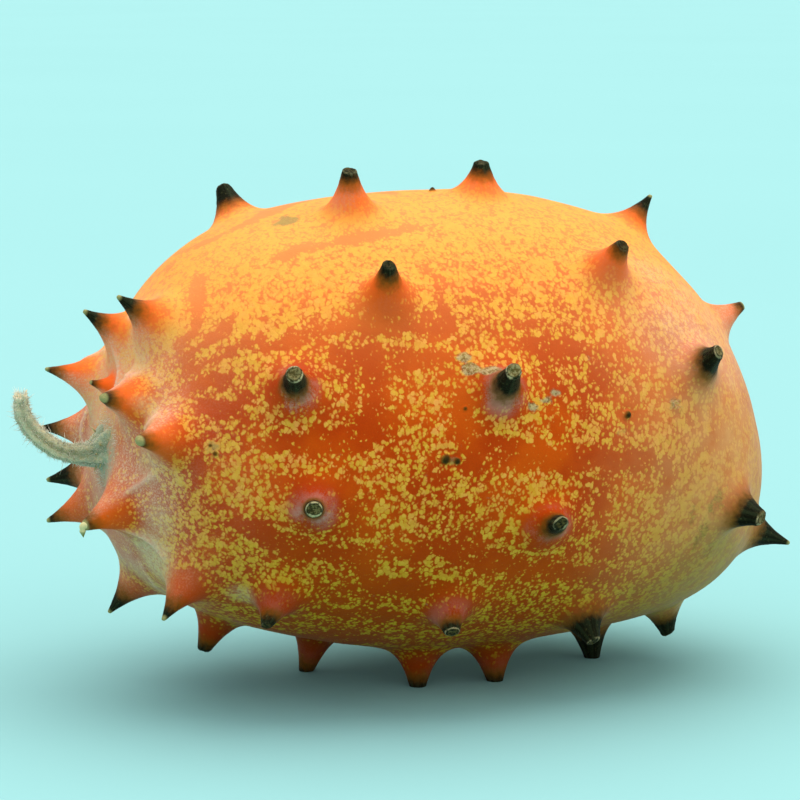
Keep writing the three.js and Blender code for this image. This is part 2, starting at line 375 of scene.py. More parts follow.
def toPolar(places):
    along = np.clip(places[..., 0] / body["halfLength"], -1, 1)
    for _ in range(3):
        level = places[..., 2] + curveAt(body["sag"], along)
        slant = np.arctan2(np.hypot(places[..., 1], level), places[..., 0])
        polar = np.interp(-slant, -slantSteps, polarSteps)
        along = -np.cos(np.radians(polar))
    around = np.degrees(np.arctan2(-places[..., 1], level))
    return polar, around


# A step of so many mm along and round the rind.
def stepFrom(polar, around, along, turned):
    out, back, side = rindFrames(polar, around)
    flat = rindPoints(polar, around) + np.multiply.outer(along, back) - np.multiply.outer(turned, side)
    # The rind bends away below such a step.
    drop = (np.asarray(along) ** 2 + np.asarray(turned) ** 2) / (2.4 * body["radius"])
    return toPolar(flat - np.multiply.outer(drop, out))


# Rings of mesh points on a horn: shares of its cap and of its wall, then mm past the wall.
# On a pointed horn and on a bud, here one with a radius of 0.6 mm, they are mm from the
# middle.
capRings = np.array([0.2, 0.4, 0.58, 0.72, 0.84, 0.93, 1])
wallRings = np.linspace(0, 1, 17)[1:]
flareRings = (0.2, 0.45, 0.75, 1.1, 1.55, 2.1, 2.75, 3.5, 4.4, 5.5)
coneRings = (0.1, 0.2, 0.3, 0.42, 0.55, 0.7, 0.85, 1.02, 1.2, 1.4, 1.62, 1.86, 2.12, 2.4, 2.72,
             3.1, 3.55, 4.0, 4.6, 5.2, 5.9, 6.7, 7.6)
budRings = (0.15, 0.3, 0.45, 0.6, 0.8, 1.05, 1.35, 1.7, 2.1)


# How much smaller than the usual blunt horn's a horn's tip is.
def tipSize(horn):
    return horn[3] / blunt


def ringsOf(horn):
    if horn[3] < slim:
        return coneRings, 26
    cap, wall = hornPlan["capReach"] * tipSize(horn), hornPlan["wallReach"]
    rings = [*(cap * capRings), *(cap + (wall - cap) * wallRings), *(wall + np.array(flareRings))]
    return rings, 30


# Which way a horn stands: out of the rind, and leaning as its row says.
def hornWay(i):
    leanBack, leanTurned = (math.tan(math.radians(lean)) for lean in horns[i][4:6])
    return hornOut[i] + leanBack * hornBack[i] + leanTurned * hornTurned[i]


# Points in rings round a place; the rings near it all have the same count, so that their
# points stand in straight spokes up the steep walls.
def ringPoints(polar, around, rings, count, gap=0.66, most=46):
    points = [(polar, around)]
    for ring in rings:
        steps = int(max(count, min(most, 2 * math.pi * ring / gap)))
        turn = np.arange(steps) * 2 * math.pi / steps
        newPolar, newAround = stepFrom(polar, around, ring * np.cos(turn), ring * np.sin(turn))
        points += list(zip(newPolar, newAround))
    return points


# For finding the nearest of the places.
def treeOf(places):
    tree = kdtree.KDTree(len(places))
    for i, place in enumerate(places):
        tree.insert(place, i)
    tree.balance()
    return tree


# Each place's two nearest horns, and how far away their feet are.
def nearestHorns(places):
    tree = treeOf(hornFeet)
    found = [tree.find_n(place, 2) for place in places]
    return tuple(np.array([[hit[part] for hit in row] for row in found]) for part in (1, 2))


def keepAway(points, tree, gap):
    places = rindPoints(*np.array(points).T)
    return [point for point, place in zip(points, places) if tree.find(place)[2] > gap]


# Even steps along the line of a fold.
def linePoints(start, end, steps):
    share = np.linspace(0, 1, steps)
    return start[0] + share * (end[0] - start[0]), start[1] + share * (end[1] - start[1])


# Gaps between the mesh points of different kinds, in mm.
meshGaps = {
    "horns": 0.35,  # between the rings of two horns
    "buds": 2.3,
    "folds": 0.3,
    "cork": 0.36,
    "corkEdge": 0.3,
    "corkPoints": 0.25,
    "ground": 0.5,
}


def layHornPoints():
    points = []
    for i, horn in enumerate(horns):
        patch = np.array(ringPoints(horn[0], horn[1], *ringsOf(horn)))
        index, distance = nearestHorns(rindPoints(patch[:, 0], patch[:, 1]))
        own = (index[:, 0] == i) & (distance[:, 1] - distance[:, 0] > meshGaps["horns"])
        points += [tuple(row) for row in patch[own]]
    return points


def layBudPoints():
    points = []
    for polar, around, _, radius in buds:
        points += ringPoints(polar, around, [ring * radius / 0.6 for ring in budRings], 14)
    return points


def layFoldPoints():
    points = []
    for start, end, _ in folds:
        points += list(zip(*linePoints(start, end, 26)))
    return points


def layCorkPoints():
    points = []
    for polar, around, along, turned, _ in corkPatches:
        reach = max(along, turned) + 0.6
        grid = np.arange(-reach, reach, meshGaps["cork"])
        for row, step in enumerate(grid):
            places = grid + meshGaps["cork"] / 2 * (row % 2)
            points += list(zip(*stepFrom(polar, around, places, step + 0 * places)))
    return points


# Even rows round the fruit, finer at the stem end.
def layGroundPoints():
    points = []
    polar, row = 1.2, 0
    while polar < 179:
        spacing = body["stemSpacing"] if polar < body["stemEnd"] else body["spacing"]
        count = max(5, int(2 * math.pi * abs(rindPoints(polar, 90)[1]) / spacing))
        shift = 180 / count * (row % 2)
        points += [(polar, 360 * k / count + shift) for k in range(count)]
        ahead = np.linalg.norm(rindPoints(polar + 0.5, 90) - rindPoints(polar - 0.5, 90))
        polar += 0.87 * spacing / ahead
        row += 1
    return points


def treeOn(points):
    return treeOf(rindPoints(*np.array(points).T))


def layMeshPoints():
    budFeet = treeOn([bud[:2] for bud in buds])
    points = keepAway(layHornPoints(), budFeet, meshGaps["buds"]) + layBudPoints()
    foldPoints = layFoldPoints()
    points = keepAway(points, treeOn(foldPoints), meshGaps["folds"]) + foldPoints
    corkPoints = keepAway(layCorkPoints(), treeOn(points), meshGaps["corkEdge"])
    points += spread(corkPoints, meshGaps["corkPoints"])
    return np.array(points + keepAway(layGroundPoints(), treeOn(points), meshGaps["ground"]))


# Drops points that come closer to an earlier one than the gap.
def spread(points, gap):
    kept = []
    cells = set()
    for point in points:
        place = rindPoints(*point)
        cell = tuple(np.floor(place / gap).astype(int))
        near = [
            (cell[0] + a, cell[1] + b, cell[2] + c)
            for a in (-1, 0, 1)
            for b in (-1, 0, 1)
            for c in (-1, 0, 1)
        ]
        if not any(other in cells for other in near):
            cells.add(cell)
            kept.append(point)
    return kept


# Joins the points into triangles: the rind is laid out flat round the stem end, and what
# stays open round the blossom end is closed by one last point.
def joinPoints(points):
    places = rindPoints(points[:, 0], points[:, 1])
    along = places[:, 0] / body["halfLength"]
    level = places + np.stack([0 * along, 0 * along, curveAt(body["sag"], along)], -1)
    ball = unit(level)
    flat = ball[:, 1:] / (1 - ball[:, :1])
    made = delaunay_2d_cdt([Vector(place) for place in flat], [], [], 0, 1e-7)
    order = np.array([ids[0] for ids in made[3]])
    faces = [tuple(order[list(face)]) for face in made[2]]
    edges = {}
    for face in faces:
        for k in range(3):
            a, b = face[k], face[(k + 1) % 3]
            edges[(a, b)] = edges.get((a, b), 0) + 1
    tip = len(points)
    faces += [(b, a, tip) for a, b in edges if (b, a) not in edges]
    return np.vstack([points, (179.99, 0)]), faces


# A horn's own profile: what radius and height the rind at this reach from its foot gets.
def hornProfile(reach, horn):
    tall = horn[2]
    size = horn[6] / hornPlan["flare"]
    if horn[3] < slim:  # a rounded point that runs out into a cone
        point = 0.6 * horn[3] if horn[3] < worn else horn[3]
        dome = tall - 0.45 * point * (reach / point) ** 2
        cone = (tall - 0.45 * point) * np.exp(-(reach - point) / (hornPlan["coneWidth"] * size))
        return reach, np.where(reach < point, dome, cone)
    scar = horn[8]
    tip = (hornPlan["tipShare"] + hornPlan["scarTip"] * scar) * horn[3]
    cap, wall = hornPlan["capReach"] * tipSize(horn), hornPlan["wallReach"]
    width = (hornPlan["postWidth"] - hornPlan["scarWidth"] * scar) * size
    curve = hornPlan["postCurve"] - hornPlan["scarCurve"] * scar
    edge = hornPlan["edgeDrop"] / tall
    foot = np.exp(-(((wall - tip) / width) ** curve))
    down = np.clip((reach - cap) / (wall - cap), 0, 1)
    wallShare = 1 - edge - (1 - edge - foot) * down
    wallRadius = tip + width * (-np.log(wallShare)) ** (1 / curve)
    inner = np.clip(reach / cap, 0, 1)
    top = 1 - edge * inner**6 - hornPlan["craterDrop"] / tall * (1 - smooth(0.35, 0.75, inner))
    flare = np.exp(-((np.maximum(reach - tip, 0) / width) ** curve))
    radius = np.where(reach < cap, reach * tip / cap, np.where(reach < wall, wallRadius, reach))
    share = np.where(reach < cap, top, np.where(reach < wall, wallShare, flare))
    return radius, tall * share


def roughness(places, size, seed):
    return np.array([noise.noise(Vector(place / size) + Vector((seed, 0, 0))) for place in places])


def segmentDistance(places, start, end, steps=40):
    line = rindPoints(*linePoints(start, end, steps))
    tree = treeOf(line)
    found = [tree.find(place) for place in places]
    share = np.array([hit[1] for hit in found]) / (steps - 1)
    return np.array([hit[2] for hit in found]), share


# What the finish has to know at each point, and its value far from any horn.
farMarks = {
    "reach": 30.0,
    "share": 0.0,
    "darkFrom": 1.0,
    "capPlace": 3.0,
    "kind": 0.0,
    "scar": 0.0,
    "heart": 0.0,
    "spokeAlong": 0.0,
    "spokeSide": 0.0,
}


# Every point's place on the finished rind, and its marks.
def raiseRind(points):
    flat = rindPoints(points[:, 0], points[:, 1])
    out, _, _ = rindFrames(points[:, 0], points[:, 1])
    total, summed = np.zeros(len(flat)), np.zeros(len(flat))
    moved, shifted = np.zeros_like(flat), np.zeros_like(flat)
    marks = {name: np.full(len(flat), value) for name, value in farMarks.items()}
    draw = random.Random(hornPlan["seed"])
    for i, horn in enumerate(horns):
        away = flat - hornFeet[i]
        near = np.linalg.norm(away, axis=1) < hornPlan["range"]
        away = away[near]
        along, side = away @ hornBack[i], away @ hornTurned[i]
        reach = np.hypot(along, side)
        facing = away @ hornOut[i] > hornPlan["behind"]
        radius, height = hornProfile(reach, horn)
        slope, turned = hornPlan["tilt"] * draw.random(), draw.uniform(0, 2 * math.pi)
        if horn[3] >= slim and horn not in standingHorns:
            onTop = np.clip((hornPlan["tiltEnd"] - reach) / hornPlan["tiltFade"], 0, 1)
            across = along * math.cos(turned) + side * math.sin(turned)
            height += slope * onTop * (across - hornPlan["tiltPivot"])
        height = np.where(facing, height, 0)
        total[near] += height ** hornPlan["merge"]
        summed[near] += height
        moved[near] += height[:, None] * hornWay(i)
        spokes = along[:, None] * hornBack[i] + side[:, None] * hornTurned[i]
        shifted[near] += ((radius - reach) / np.maximum(reach, 1e-6))[:, None] * spokes
        nearer = reach < marks["reach"][near]
        where = np.flatnonzero(near)[nearer]
        here = {
            "reach": reach,
            "share": height / horn[2],
            "darkFrom": horn[7],
            "capPlace": reach / (hornPlan["capReach"] * tipSize(horn)),
            "kind": horn[3] >= slim,
            "scar": horn[8],
            "heart": paleHearts.get(horn[:2], 0),
            "spokeAlong": along / np.maximum(reach, 0.01),
            "spokeSide": side / np.maximum(reach, 0.01),
        }
        for name, value in here.items():
            marks[name][where] = np.broadcast_to(value, reach.shape)[nearer]
    ratio = total ** (1 / hornPlan["merge"]) / np.maximum(summed, 1e-9)
    soft = 0.6 * roughness(flat, 17, 3) + 0.4 * roughness(flat, 7, 11)
    calm = smooth(1.5, 6, marks["reach"])
    raised = flat + moved * ratio[:, None] + shifted
    raised += out * (body["dimple"] * (soft - 0.6) * calm)[:, None]
    tall = np.flatnonzero(marks["share"] > 0.3)
    knobs = roughness(raised[tall], 0.9, 31) + 0.6 * roughness(raised[tall], 0.45, 37)
    swell = hornPlan["knobbly"] * knobs * smooth(0.3, 0.6, marks["share"][tall])
    raised[tall] += swell[:, None] * unit(shifted[tall] + 0.02 * moved[tall] + 1e-6)
    return flat, out, raised, marks


relief = {
    "foldsFrom": -0.55,  # of the half-length: there are none beyond this
    "foldEnds": 0.22,  # share of a fold's length over which it rises
    "foldWidth": 0.42,
    # Its pale crest is partly bloom, partly a painted highlight.
    "foldLine": 0.34,  # mm, of its pale crest
    "budWidth": 0.9,  # of its radius, as is all below
    "budRing": 0.18,  # depth of the ring round a bud, of its height
    "budRingReach": 1.6,
    "budRingWidth": 0.6,
    "budSpot": 1.05,
    "crust": 0.16,  # mm of cork
}


def addFolds(flat, out, raised, marks):
    marks["fold"] = np.zeros(len(flat))
    stem = np.flatnonzero(flat[:, 0] < relief["foldsFrom"] * body["halfLength"])
    for start, end, tall in folds:
        distance, share = segmentDistance(flat[stem], start, end)
        ends = smooth(0, relief["foldEnds"], share) * smooth(0, relief["foldEnds"], 1 - share)
        crest = tall * ends * np.exp(-((distance / relief["foldWidth"]) ** 1.1))
        raised[stem] += out[stem] * crest[:, None]
        # A pale line along the crest: partly bloom, partly a painted highlight.
        line = ends * np.exp(-((distance / relief["foldLine"]) ** 1.6))
        marks["fold"][stem] = np.maximum(marks["fold"][stem], line)


def addBuds(flat, out, raised, marks):
    marks["bud"] = np.zeros(len(flat))
    for polar, around, tall, radius in buds:
        reach = np.linalg.norm(flat - rindPoints(polar, around), axis=1) / radius
        bump = np.exp(-((reach / relief["budWidth"]) ** 2.4))
        ring = np.exp(-(((reach - relief["budRingReach"]) / relief["budRingWidth"]) ** 2))
        raised += out * (tall * (bump - relief["budRing"] * ring))[:, None]
        spot = min(1, 0.45 + 1.5 * tall) * np.exp(-((reach / relief["budSpot"]) ** 2.6))
        marks["bud"] = np.maximum(marks["bud"], spot)


def patchMask(flat, patches):
    mask = np.zeros(len(flat))
    for polar, around, along, turned, strength in patches:
        _, back, side = rindFrames(polar, around)
        away = flat - rindPoints(polar, around)
        close = np.linalg.norm(away, axis=1) < 3 * max(along, turned)
        spot = np.hypot(away @ back / along, away @ side / turned)
        here = np.where(close, strength * (1 - smooth(0.35, 1.15, spot)), 0)
        mask = np.where(np.abs(here) > np.abs(mask), here, mask)
    return mask


def addCork(flat, out, raised, marks):
    marks["cork"] = patchMask(flat, corkPatches)
    corky = np.flatnonzero(marks["cork"] > 0.02)
    grain = roughness(flat[corky], 0.8, 5) + 0.5 * roughness(flat[corky], 0.4, 9)
    crust = smooth(0.2, 0.6, marks["cork"][corky] + 0.35 * grain) * relief["crust"] * (1 + grain)
    raised[corky] += out[corky] * crust[:, None]


# Degrees from the top: to the front up to 180, to the back down to -180.
def fromTop(points):
    return (points[:, 1] + 180) % 360 - 180


# Distance to the nearest bare stream, negative inside it. The front's streams are listed,
# and those of the back run between the horns.
def streamField(flat, points):
    lanes, halfWidths = [], []
    for lane in streams:
        polar, around, halfWidth = np.array(lane, float).T
        steps = np.linspace(0, len(lane) - 1, 14 * len(lane))
        knots = np.arange(len(lane))
        lanes.append(rindPoints(np.interp(steps, knots, polar), np.interp(steps, knots, around)))
        halfWidths.append(np.interp(steps, knots, halfWidth))
    tree = treeOf(np.vstack(lanes))
    widths = np.concatenate(halfWidths)
    found = [tree.find(place) for place in flat]
    handLaid = np.array([hit[2] for hit in found]) - widths[[hit[1] for hit in found]]
    handLaid += roughness(flat, 5.5, 27) + 0.7 * roughness(flat, 2.8, 29)
    _, distance = nearestHorns(flat)
    wander = 2.2 * roughness(flat, 9, 21) + 1.1 * roughness(flat, 3.4, 25)
    between = (distance[:, 1] - distance[:, 0]) / 2 - 0.3 + wander
    between += 3.4 * roughness(flat, 15, 33)
    around = fromTop(points)
    front = smooth(2, 22, around) * (1 - smooth(138, 156, around))
    front *= smooth(24, 34, points[:, 0]) * (1 - smooth(128, 142, points[:, 0]))
    return handLaid * front + between * (1 - front)


# How thickly the yellow speckles lie and how fine they are; the top, lighter partly as painted light;
# the olive lower side, darker partly as painted shade; and the bloom, with a painted highlight on the
# blossom end's shoulder.
def layTints(flat, points, marks):
    polar = points[:, 0]
    around = np.abs(fromTop(points))
    around += (88 - around) * smooth(128, 174, polar)  # no seam at the blossom end
    cover = 0.92 - 0.34 * smooth(36, 70, around) - 0.04 * smooth(120, 160, around)
    cover += 0.06 * smooth(104, 128, polar) * smooth(60, 95, around)
    cover -= 0.34 * (1 - smooth(13, 25, polar))  # thin round the stalk
    pastHorns = smooth(22, 32, polar) * (1 - smooth(48, 60, polar))
    cover += 0.14 * pastHorns * smooth(26, 56, around)
    marks["cover"] = cover + patchMask(flat, coverPatches)
    # Lighter and yellower towards the top: partly the rind's own tone, partly painted light.
    marks["top"] = 1 - smooth(12, 86, around)
    marks["fine"] = np.maximum(1 - smooth(24, 48, polar), 0.7 * (1 - smooth(30, 64, around)))
    # Olive and darker on the lower side and the lower blossom end: partly the rind's own olive tone,
    # partly painted shade.
    low = smooth(84, 150, around) * (0.45 + 0.55 * smooth(30, 62, polar))
    marks["oliveAndShade"] = np.clip(low + 0.5 * smooth(108, 140, polar) * smooth(60, 110, around), 0, 1)
    # The horns' flanks that face the blossom end are bare of dust.
    shy = smooth(-0.25, 0.5, 0.85 * marks["spokeAlong"] - 0.35 * marks["spokeSide"])
    onHorn = smooth(0.04, 0.25, marks["share"])
    dust = 1.1 * (1 - smooth(18, 38, polar)) * (1 - onHorn)
    dusty = (1 - smooth(30, 48, polar)) * (1 - 0.7 * smooth(100, 135, around))
    dust += dusty * onHorn * 0.85 * (1 - shy)
    hazeAndHighlight = 0.14 * (1 - smooth(32, 58, polar)) * smooth(30, 60, around) * (1 - 0.6 * onHorn)
    # Painted highlight: a pale band on the upper front shoulder of the blossom end, laid in the bloom's
    # colour.
    shoulder = smooth(22, 38, around) * (1 - smooth(58, 74, around))
    hazeAndHighlight += 0.6 * smooth(108, 124, polar) * shoulder
    marks["bloomAndHighlight"] = np.clip(dust + hazeAndHighlight, 0, 1)
    marks["tail"] = smooth(96, 136, polar) * smooth(32, 84, around)


def makeMesh(name, places, faces, marks=None):
    mesh = bpy.data.meshes.new(name)
    mesh.from_pydata([tuple(place) for place in places * mm], [], faces)
    mesh.polygons.foreach_set("use_smooth", [True] * len(mesh.polygons))
    for mark, values in (marks or {}).items():
        layer = mesh.attributes.new(mark, "FLOAT", "POINT")
        layer.data.foreach_set("value", np.asarray(values, np.float32))
    mesh.validate()
    mesh.update()
    piece = bpy.data.objects.new(name, mesh)
    bpy.context.scene.collection.objects.link(piece)
    return piece


def makeFruit():
    points, faces = joinPoints(layMeshPoints())
    flat, out, raised, marks = raiseRind(points)
    addFolds(flat, out, raised, marks)
    addBuds(flat, out, raised, marks)
    addCork(flat, out, raised, marks)
    marks["stain"] = patchMask(flat, stains)
    marks["pale"] = patchMask(flat, palePatches)
    marks["stream"] = streamField(flat, points)
    root = rindPoints(stalk["rootPolar"], stalk["rootAround"])
    fromRoot = np.linalg.norm(flat - root, axis=1) / stalk["rootRadius"]
    marks["collar"] = 1 - smooth(*stalk["collar"], fromRoot)
    raised += out * (stalk["mound"] * np.exp(-(fromRoot**2)))[:, None]
    layTints(flat, points, marks)
    raised += np.array(body["centre"])
    raised[:, 2] = np.maximum(raised[:, 2], 0)
    return makeMesh("horned_melon_rind", raised, faces, marks)


fruit = makeFruit()
print("rind:", len(fruit.data.vertices), "points,", len(fruit.data.polygons), "triangles")


# Colours as seen on screen, turned into the renderer's linear ones.
def tint(red, green, blue):
    return tuple(
        part / 12.92 if part <= 0.04045 else ((part + 0.055) / 1.055) ** 2.4
        for part in (red / 255, green / 255, blue / 255)
    )


# A value in a finish: plain sums with it make the finish's maths nodes.
class Value:
    def __init__(self, look, socket):
        self.look, self.socket = look, socket

    def __mul__(self, other):
        return self.look.math("MULTIPLY", self, other)

    def __add__(self, other):
        return self.look.math("ADD", self, other)

    def __sub__(self, other):
        return self.look.math("SUBTRACT", self, other)

    def __rsub__(self, other):
        return self.look.math("SUBTRACT", other, self)

    __rmul__, __radd__ = __mul__, __add__


# The nodes of one finish. Colours are given by their names in its list of colours.
class Finish:
    def __init__(self, name, colours):
        self.colours = colours
        self.marks = {}
        self.material = bpy.data.materials.new(name)
        self.material.use_nodes = True
        self.tree = self.material.node_tree
        coords = self.made("ShaderNodeTexCoord", {}, "Object")
        self.place = self.vector("MULTIPLY", coords, (1000, 1000, 1000))  # in millimetres

    def feed(self, socket, value):
        if isinstance(value, Value):
            self.tree.links.new(value.socket, socket)
        elif socket.type == "RGBA":
            socket.default_value = (*tint(*self.colours[value]), 1)
        else:
            socket.default_value = value

    # A new node with its inputs fed, by number or name; gives back its outputs.
    def made(self, kind, inputs, *outputs, **settings):
        node = self.tree.nodes.new(kind)
        for setting, value in settings.items():
            setattr(node, setting, value)
        for socket, value in inputs.items():
            self.feed(node.inputs[socket], value)
        values = [Value(self, node.outputs[output]) for output in outputs or (0,)]
        return values if len(values) > 1 else values[0]

    # Feeds the shader itself.
    def dress(self, inputs):
        for socket, value in inputs.items():
            self.feed(self.tree.nodes["Principled BSDF"].inputs[socket], value)

    def math(self, operation, *values):
        return self.made("ShaderNodeMath", dict(enumerate(values)), operation=operation)

    def vector(self, operation, *values):
        return self.made("ShaderNodeVectorMath", dict(enumerate(values)), operation=operation)

    def larger(self, first, second):
        return self.math("MAXIMUM", first, second)

    # What the mesh has stored at each of its points.
    def mark(self, name):
        if name not in self.marks:
            self.marks[name] = self.made("ShaderNodeAttribute", {}, "Fac", attribute_name=name)
        return self.marks[name]

    def noise(self, size, detail=2.0, rough=0.5, place=None, output="Fac"):
        inputs = {"Vector": place or self.place, "Scale": 1 / size, "Detail": detail, "Roughness": rough}
        return self.made("ShaderNodeTexNoise", inputs, output)

    # Each cell's distance from its middle, and two chance numbers for it.
    def cells(self, place, size):
        inputs = {"Vector": place, "Scale": 1 / size}
        distance, colour = self.made("ShaderNodeTexVoronoi", inputs, "Distance", "Color")
        return distance, *self.made("ShaderNodeSeparateColor", {0: colour}, 0, 1)

    def step(self, value, low, high):
        inputs = dict(enumerate((value, low, high, 0.0, 1.0)))
        return self.made("ShaderNodeMapRange", inputs, interpolation_type="SMOOTHSTEP")

    def mix(self, share, first, second):
        return self.made("ShaderNodeMix", {0: share, 6: first, 7: second}, 2, data_type="RGBA")

    def blend(self, share, first, second):
        return self.made("ShaderNodeMix", {0: share, 2: first, 3: second}, data_type="FLOAT")

    def bump(self, height, depth, strength=1.0):
        inputs = {"Strength": strength, "Distance": depth, "Height": height}
        return self.made("ShaderNodeBump", inputs)


rindColours = {
    "orange": (206, 80, 4),
    "deepOrange": (184, 58, 2),
    # Top colours: partly the rind's own yellower tone, partly painted light.
    "litTopOrange": (238, 138, 72),
    # Lower side: browner and darker, partly the rind's own tone, partly painted shade.
    "brownShadedOrange": (162, 66, 1),
    "yellow": (224, 178, 50),
    "peach": (234, 156, 74),
    # Top speckles: partly their own tone, partly painted light.
    "litTopYellow": (238, 168, 72),
    # Lower speckles: olive and darker, partly painted shade.
    "oliveShadedYellow": (200, 162, 32),
    "flare": (190, 58, 6),
    # Flares on top: lighter, partly painted light.
    "litTopFlare": (246, 98, 18),
    # Flares on the lower side: darker, partly painted shade.
    "shadedLowFlare": (140, 44, 4),
    "stemFlare": (226, 98, 8),
    # Painted shade for the upper flanks round the horns on the front.
    "upperFlareShade": (138, 38, 3),
    # Whitish bloom; also the colour of a painted highlight on the blossom end's shoulder.
    "bloomAndHighlight": (222, 196, 168),
    "halo": (188, 160, 146),
    "pale": (204, 190, 136),
    "tail": (216, 166, 104),
    # Top of the blossom end: partly its milky tone, partly painted light.
    "paleLitTail": (224, 184, 146),
    # Lower blossom end: olive and darker, partly painted shade.
    "shadedOliveTail": (166, 146, 84),
    "brown": (106, 70, 14),
    "dark": (16, 18, 6),
    "tealDark": (36, 44, 26),
    "fleck": (98, 98, 58),
    "scarRim": (198, 184, 136),
    "scarHeart": (112, 96, 50),
    "paleHeart": (160, 150, 102),
    "paleTip": (190, 186, 122),
    "budHeart": (34, 32, 8),
    "stain": (128, 132, 84),
    # Stains on the lower side: darker, partly painted shade.
    "darkShadedStain": (78, 74, 26),
    "cork": (182, 170, 124),
    "corkDark": (112, 106, 64),
    # Pale crest of the folds: partly bloom, partly a painted highlight.
    "fold": (246, 216, 188),
    "collar": (150, 168, 142),
    "sheen": (255, 226, 206),
}
speckles = {
    "grain": 0.8,  # mm between single grains
    "group": 2.1,  # mm across the small groups that the grains join into
    "fineGrain": 0.64,  # the same on the top and at the stem end
    "fineGroup": 1.5,
    "clump": 5.5,  # mm across the thick and thin places
    "clumpGain": 0.4,
    "grainGain": 0.86,
    "chance": 0.26,  # how much the grains differ in size
    "fray": 0.2,  # unevenness of their edges
    "level": 0.585,  # the higher, the fewer speckles
    "edge": (-0.13, 0.2),
    "upright": 1.2,  # grains are narrower along the fruit than round it
}


# Single rounded grains that join into groups, and a shade for each grain.
def speckleField(look, place, grain, group):
    distance, chance, shade = look.cells(place, grain)
    groups = look.noise(group, 1.5, 0.55, place)
    return groups - speckles["grainGain"] * distance + speckles["chance"] * chance, shade


# Where the yellow speckles are, from 0 to 1, and their shades.
def speckleMask(look, cover):
    drift = look.noise(0.9, 1.0, 0.5, output="Color")
    jitter = look.vector("MULTIPLY_ADD", drift, (0.9, 0.9, 0.9), (-0.45, -0.45, -0.45))
    bent = look.vector("MULTIPLY_ADD", look.place, (speckles["upright"], 1, 1), jitter)
    coarse, coarseShade = speckleField(look, bent, speckles["grain"], speckles["group"])
    small, smallShade = speckleField(look, bent, speckles["fineGrain"], speckles["fineGroup"])
    field = look.blend(look.mark("fine"), coarse, small) + speckles["fray"] * look.noise(0.36, 1.0)
    shade = look.blend(look.mark("fine"), coarseShade, smallShade)
    specks = look.step(field + 0.46 * cover - speckles["level"], *speckles["edge"])
    return specks * (0.34 * shade + 0.7), shade


# The share of the speckles: thick and thin clumps, nothing in the bare streams nor on the
# flares of the horns.
def speckleCover(look):
    clumps = look.noise(speckles["clump"], 2.0, 0.55)
    cover = look.mark("cover") + speckles["clumpGain"] * (clumps - 0.5)
    ragged = look.noise(1.7, 2.0, 0.6)
    isOpen = look.step(look.mark("stream") + 2.2 * ragged, 0.5, 2.0)
    reach = look.mark("reach") + 1.2 * look.mark("fine")
    return cover * isOpen * look.step(reach + 3.0 * ragged, 3.6, 7.0)


# Orange ground and yellow speckles: lighter and yellower on top, partly the rind's own tone and partly
# painted light; browner and darker below, partly its own olive tone and partly painted shade.
def groundColours(look, specks, shade):
    top, oliveAndShade = look.mark("top"), look.mark("oliveAndShade")
    orange = look.mix(look.step(look.noise(13, 3.0, 0.55), 0.36, 0.64), "deepOrange", "orange")
    # Browner and darker below: partly own tone, partly painted shade.
    orange = look.mix(oliveAndShade, orange, "brownShadedOrange")
    # Lighter and yellower on top: partly own tone, partly painted light.
    orange = look.mix(top, orange, "litTopOrange")
    pale = 0.5 * (look.step(look.noise(2.2), 0.4, 0.66) + shade)
    yellow = look.mix(pale, "yellow", "peach")
    # Olive and darker speckles below: partly painted shade.
    yellow = look.mix(oliveAndShade, yellow, "oliveShadedYellow")
    # Paler speckles on top: partly own tone, partly painted light.
    yellow = look.mix(top, yellow, "litTopYellow")
    return look.mix(specks * (0.97 - 0.3 * look.mark("tail")), orange, yellow)


# The redder flares of the horns, up to a few millimetres from their feet.
def addFlares(look, skin):
    top, oliveAndShade = look.mark("top"), look.mark("oliveAndShade")
    # Darker flares below, and the lighter flares fading there: partly painted shade.
    dimmed = 1 - 0.8 * oliveAndShade
    flare = look.mix(oliveAndShade, "flare", "shadedLowFlare")
    flare = look.mix(look.mark("fine") * dimmed, flare, "stemFlare")
    # Lighter flares towards the top: partly painted light.
    flare = look.mix(look.step(top, 0.0, 0.6) * dimmed, flare, "litTopFlare")
    near = 1 - look.step(look.mark("reach"), 1.2, 5.8)
    calm = 1 - 0.9 * look.step(look.mark("tail"), 0.0, 0.6)
    return look.mix(near * calm * (0.88 - 0.3 * look.mark("scar")), skin, flare)


# The milky skin of the blossom end, and the creamy patches.
def addPaleSkin(look, skin):
    cloud = look.noise(4.0, 3.0, 0.6)
    # The blossom end's lower side turns olive and darker: partly painted shade.
    lower = look.step(look.mark("oliveAndShade") + 0.5 * cloud - 0.25, 0.6, 1.1)
    # Paler on the top of the blossom end: partly its own milky tone, partly painted light.
    tone = look.mix(look.step(look.mark("top"), 0.0, 0.4), "tail", "paleLitTail")
    tone = look.mix(lower, tone, "shadedOliveTail")
    skin = look.mix(look.mark("tail") * (0.7 * cloud + 0.2), skin, tone)
    broken = look.step(look.noise(0.5, 3.0, 0.7), 0.36, 0.6)
    return look.mix(look.mark("pale") * (0.5 * broken + 0.3), skin, "pale")


# A vector that turns round a horn and hardly changes down its flanks, for streaks.
def spokeVector(look, turns, down):
    parts = (turns * look.mark("spokeAlong"), turns * look.mark("spokeSide"), down * look.mark("reach"))
    return look.made("ShaderNodeCombineXYZ", dict(enumerate(parts)))


# The whitish bloom that dusts the stem end: a haze full of fine dots. Its share also carries a painted
# highlight on the blossom end's upper shoulder.
def bloomAndHighlightShare(look):
    dots = look.step(look.noise(0.3, 2.0, 0.7), 0.44, 0.68)
    cloud = look.step(look.noise(5, 2.0, 0.6), 0.3, 0.62)
    return (0.5 * dots + 0.32) * (0.45 * cloud + 0.55) * look.mark("bloomAndHighlight")


